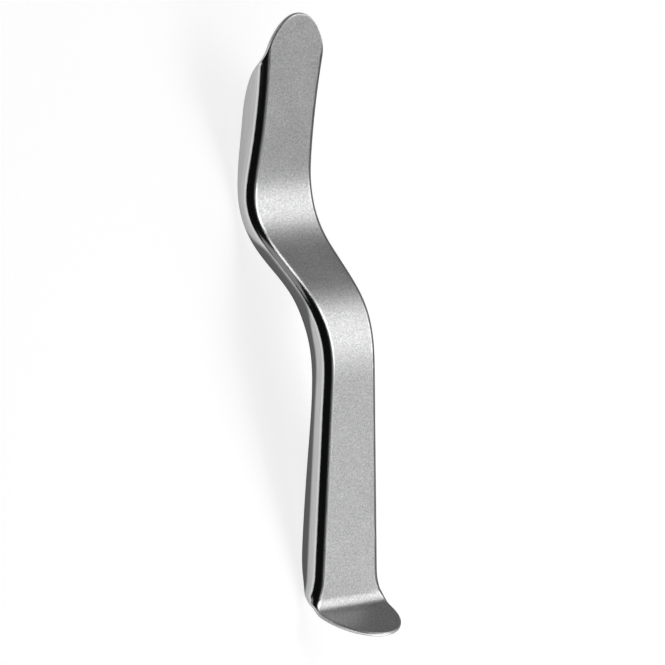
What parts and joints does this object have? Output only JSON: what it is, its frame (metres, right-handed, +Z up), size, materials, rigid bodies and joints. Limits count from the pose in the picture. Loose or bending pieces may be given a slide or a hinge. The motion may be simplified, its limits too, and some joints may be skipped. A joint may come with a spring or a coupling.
{
  "type": "handheld surgical retractor",
  "caption": "Stepped surgical retractor pressed from one steel sheet, with a long tongue-shaped blade, an offset flat handle with turned-back side walls and a short hooked end.",
  "frame": {"origin": "middle of the bounding box's bottom face, on the surface that the retractor lies on", "axes": "+Z up, with the retractor lying on its back; +Y along its length, from the short hook to the long blade; +X across its width"},
  "size_m": [0.0278, 0.151, 0.0187],
  "materials": {
    "satin_steel": "satin faces with polished side walls and rims"
  },
  "bodies": {
    "root": {"retractor": "satin_steel"}
  },
  "joints": []
}
